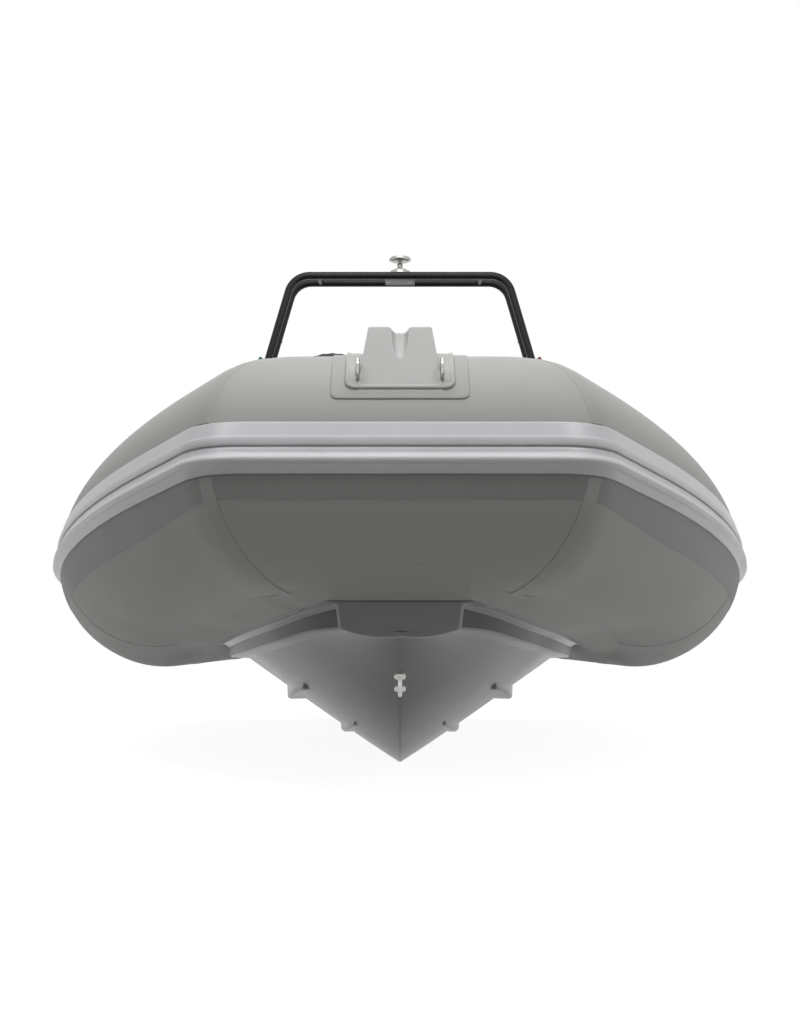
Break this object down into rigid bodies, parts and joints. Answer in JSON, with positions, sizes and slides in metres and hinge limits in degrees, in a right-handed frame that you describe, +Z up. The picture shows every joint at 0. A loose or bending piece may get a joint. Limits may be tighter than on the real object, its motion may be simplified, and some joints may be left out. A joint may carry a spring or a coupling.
{
  "type": "rigid inflatable boat",
  "caption": "Small rigid inflatable tender with a V hull, air tubes, rubbing strake, side console, rear bench and a tow arch.",
  "frame": {"origin": "on the centre line, at the waterline, at half the overall length", "axes": "+Z up, -Y towards the bow, +X to port"},
  "size_m": [1.7568, 3.7598, 1.694],
  "materials": {
    "gelcoat": "glossy dark grey gelcoat",
    "liner": "light grey gelcoat",
    "deck_tread": "moulded non-slip",
    "black_plastic": "satin moulded",
    "wheel_rim": "soft-touch rim",
    "tube_fabric": "coated fabric, matt",
    "moulded_rubber": "moulded, matt",
    "strake_rubber": "extruded, satin",
    "stainless": "polished",
    "cushion_vinyl": "marine vinyl",
    "black_coat": "satin powder coat",
    "lamp_green": "clear coloured lens",
    "lamp_red": "clear coloured lens"
  },
  "bodies": {
    "boat": {"hull": "gelcoat", "spray_rails": "gelcoat", "transom": "gelcoat", "engine_pads": "black_plastic", "sole": "deck_tread", "tube_bow": "tube_fabric", "tube_starboard": "tube_fabric", "tube_port": "tube_fabric", "stern_cone_starboard": "tube_fabric", "stern_cone_port": "tube_fabric", "stern_cap_starboard": "moulded_rubber", "stern_cap_port": "moulded_rubber", "strake_bow": "strake_rubber", "strake_starboard": "strake_rubber", "strake_port": "strake_rubber", "bow_patch": "tube_fabric", "bow_pad": "moulded_rubber", "bow_chock": "moulded_rubber", "side_eyes": "stainless", "bow_eye": "stainless", "stern_eyes": "stainless", "bow_locker": "liner", "console": "liner", "helm_boss": "black_plastic", "throttle": "black_plastic", "bench": "liner", "backrest": "cushion_vinyl", "backrest_posts": "black_coat", "quarter_pod_starboard": "liner", "quarter_pod_port": "liner", "arch_hoop_front": "black_coat", "arch_hoop_rear": "black_coat", "arch_feet": "black_coat", "arch_struts": "black_coat", "post_plates": "black_coat", "tow_post": "stainless", "nav_light_starboard": "lamp_green", "nav_light_port": "lamp_red", "grab_handles": "moulded_rubber"},
    "wheel": {"steering_wheel": "wheel_rim"},
    "locker_lid": {"bow_locker_lid": "liner"},
    "bench_seat": {"bench_lid": "liner", "bench_cushion": "cushion_vinyl"}
  },
  "joints": [
    {"name": "steering", "type": "hinge", "parent": "boat", "child": "wheel", "pos_m": [-0.207, 0.31425, 0.764], "axis": [0, 0.9397, 0.342], "range_deg": [-540, 540]},
    {"name": "locker_lid_hinge", "type": "hinge", "parent": "boat", "child": "locker_lid", "pos_m": [0, -1.22975, 0.2913], "axis": [1, 0, 0], "range_deg": [0, 95]},
    {"name": "bench_seat_hinge", "type": "hinge", "parent": "boat", "child": "bench_seat", "pos_m": [0, 0.59025, 0.4563], "axis": [1, 0, 0], "range_deg": [0, 85]}
  ]
}
